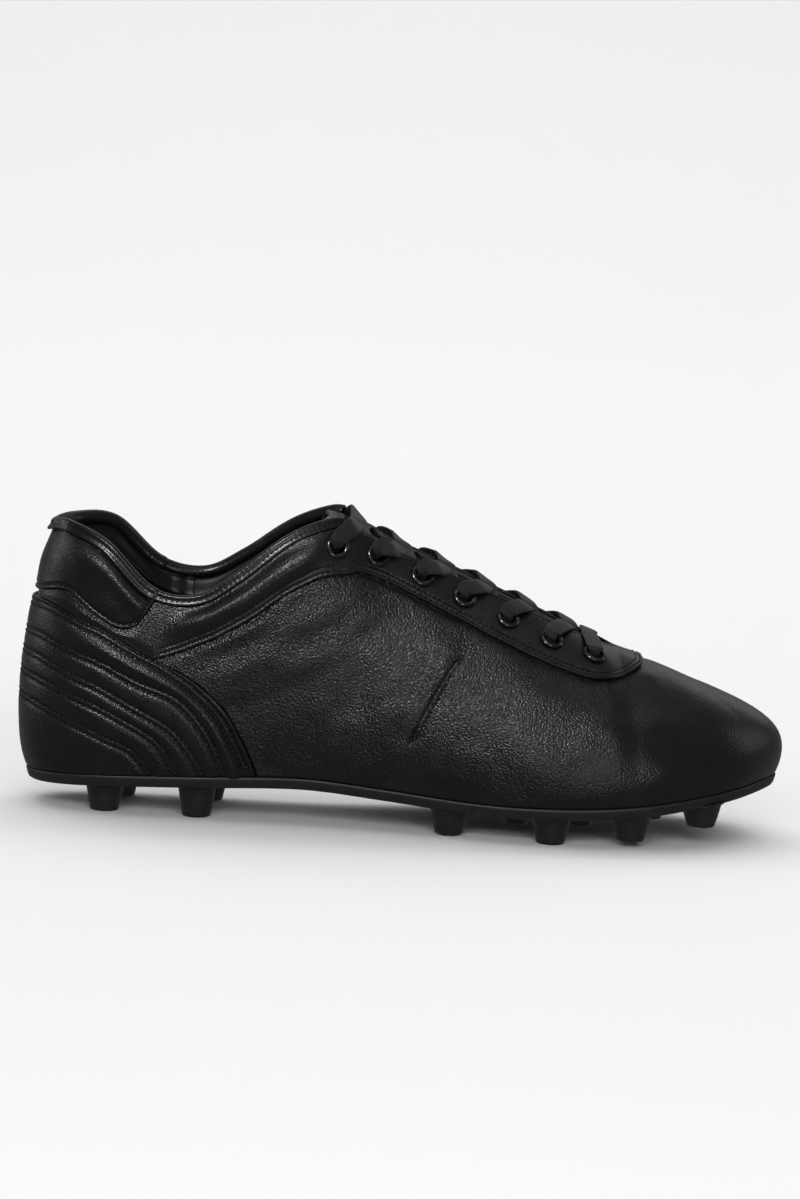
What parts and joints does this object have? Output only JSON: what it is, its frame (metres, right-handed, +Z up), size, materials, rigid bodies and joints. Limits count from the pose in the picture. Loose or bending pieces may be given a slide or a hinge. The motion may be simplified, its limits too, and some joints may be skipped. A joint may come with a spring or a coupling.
{
  "type": "soccer cleat",
  "caption": "Low-cut black leather soccer cleat for the right foot, with a moulded studded sole, quilted heel, laced eyestay, padded collar and a hinged tongue.",
  "frame": {"origin": "on the ground under the middle of the bounding box, the shoe standing on its studs", "axes": "+X from heel to toe, -Y to the outer (lateral) side of this right shoe, +Z up"},
  "size_m": [0.2842, 0.0976, 0.1145],
  "materials": {
    "sole_plastic": "moulded",
    "stud_plastic": "moulded",
    "shank_steel": "brushed",
    "filler": "felt",
    "board": "pressed fibre",
    "footbed_cloth": "woven",
    "stiffener": "fibre",
    "leather": "fine pebbled grain, satin",
    "leather_smooth": "smooth grain, satin",
    "backing": "woven",
    "foam": "open-cell foam",
    "binding": "polished fold",
    "tongue_leather": "smooth grain, satin",
    "lining": "glossy synthetic",
    "lining_cloth": "woven",
    "eyelet": "gloss black",
    "lace": "flat weave",
    "aglet": "smooth"
  },
  "bodies": {
    "shoe": {"outsole_plate": "sole_plastic", "forefoot_studs": "stud_plastic", "centre_studs": "stud_plastic", "heel_studs": "stud_plastic", "shank": "shank_steel", "bottom_filler": "filler", "insole_board": "board", "footbed": "footbed_cloth", "toe_puff": "stiffener", "heel_counter": "stiffener", "vamp": "leather", "lateral_quarter": "leather", "medial_quarter": "leather", "eyestay_collar": "leather_smooth", "eyestay_backing": "backing", "heel_panel": "leather_smooth", "heel_collar": "leather", "collar_padding": "foam", "collar_binding": "binding", "vamp_lining": "lining_cloth", "quarter_lining": "lining", "lateral_eyelets": "eyelet", "medial_eyelets": "eyelet", "lace": "lace", "lace_aglets": "aglet"},
    "tongue": {"tongue_face": "tongue_leather", "tongue_padding": "foam", "tongue_lining": "lining"}
  },
  "joints": [
    {"name": "tongue_hinge", "type": "hinge", "parent": "shoe", "child": "tongue", "pos_m": [0.082, 0, 0.0605], "axis": [0, 1, 0], "range_deg": [-12, 0]}
  ]
}
